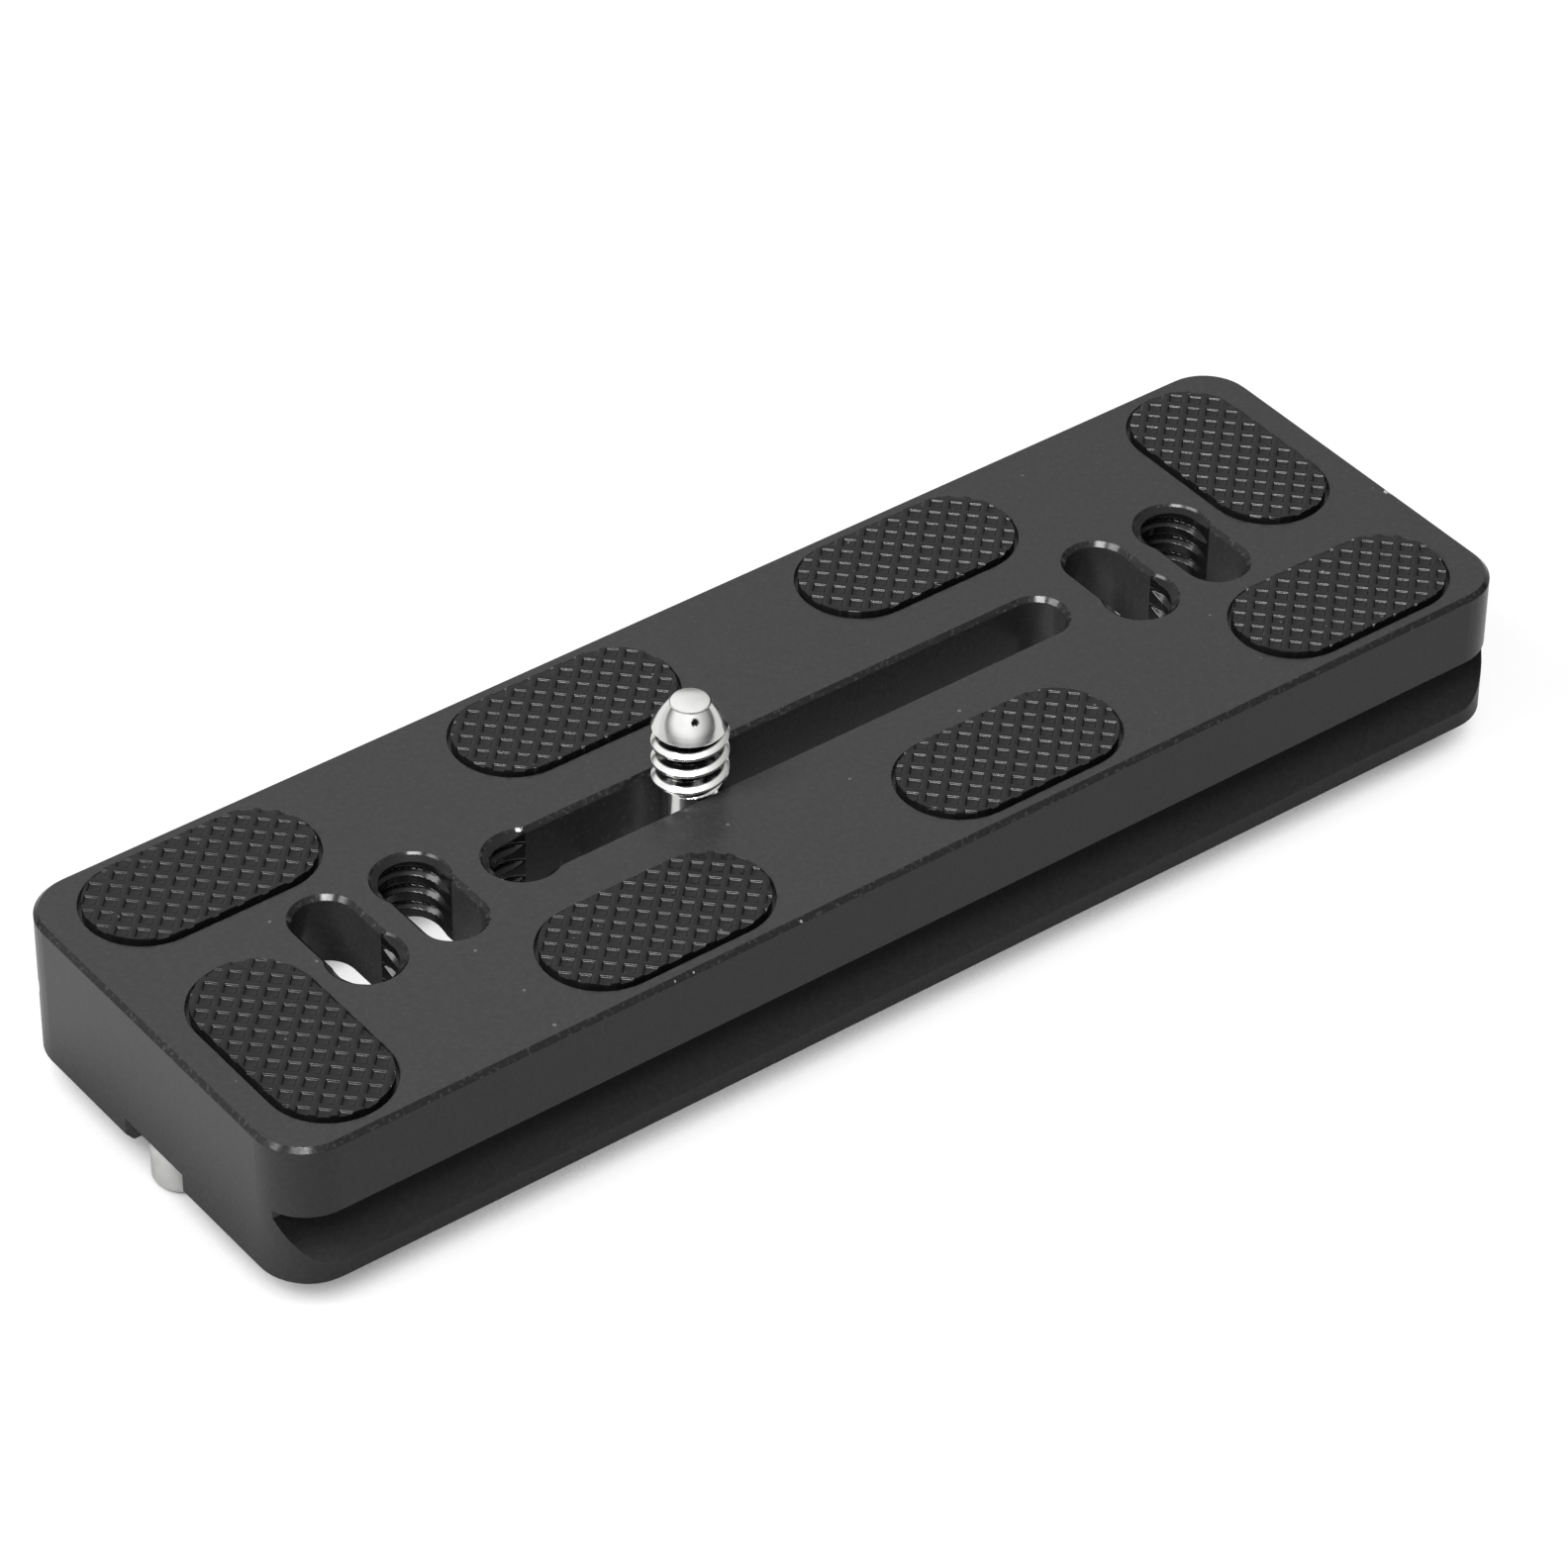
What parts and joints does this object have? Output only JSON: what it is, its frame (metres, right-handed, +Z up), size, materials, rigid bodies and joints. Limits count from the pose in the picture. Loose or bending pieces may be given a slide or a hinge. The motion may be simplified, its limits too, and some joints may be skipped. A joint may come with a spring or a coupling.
{
  "type": "tripod quick release plate",
  "caption": "Rounded dovetail plate with a long slot and captive camera screw, rubber grip pads, tapped cross slots and end stop screws; joins a camera or lens foot to a tripod clamp.",
  "frame": {"origin": "on the surface that the plate stands on, under the plate's centre, level with the feet of the stop screws", "axes": "+X along the plate and its dovetail, +Y across it, +Z up along the camera screw"},
  "size_m": [0.12, 0.038, 0.0235],
  "materials": {
    "black_anodised_aluminium": "black anodised, semi-matte",
    "grip_rubber": "embossed matte rubber",
    "bright_plated_steel": "bright plated",
    "washer_steel": "zinc plated",
    "ring_wire_steel": "drawn wire",
    "stop_screw_steel": "satin plated"
  },
  "bodies": {
    "plate": {"plate_body": "black_anodised_aluminium", "grip_pad_back_left": "grip_rubber", "grip_pad_back_middle": "grip_rubber", "grip_pad_back_right": "grip_rubber", "grip_pad_right_end": "grip_rubber", "grip_pad_front_right": "grip_rubber", "grip_pad_front_middle": "grip_rubber", "grip_pad_front_left": "grip_rubber", "grip_pad_left_end": "grip_rubber", "stop_screw_left": "stop_screw_steel", "stop_screw_right": "stop_screw_steel"},
    "washer": {"screw_washer": "washer_steel"},
    "screw": {"camera_screw": "bright_plated_steel"},
    "ring": {"d_ring": "ring_wire_steel"}
  },
  "joints": [
    {"name": "screw_slide", "type": "slide", "parent": "plate", "child": "washer", "axis": [1, 0, 0], "range_m": [-0.0161, 0.0349]},
    {"name": "screw_spin", "type": "hinge", "parent": "washer", "child": "screw", "pos_m": [-0.0094, 0, 0.00875], "axis": [0, 0, 1], "continuous": true},
    {"name": "ring_fold", "type": "hinge", "parent": "screw", "child": "ring", "pos_m": [-0.0094, 0, 0.00585], "axis": [0, 1, 0], "range_deg": [0, 180]}
  ]
}
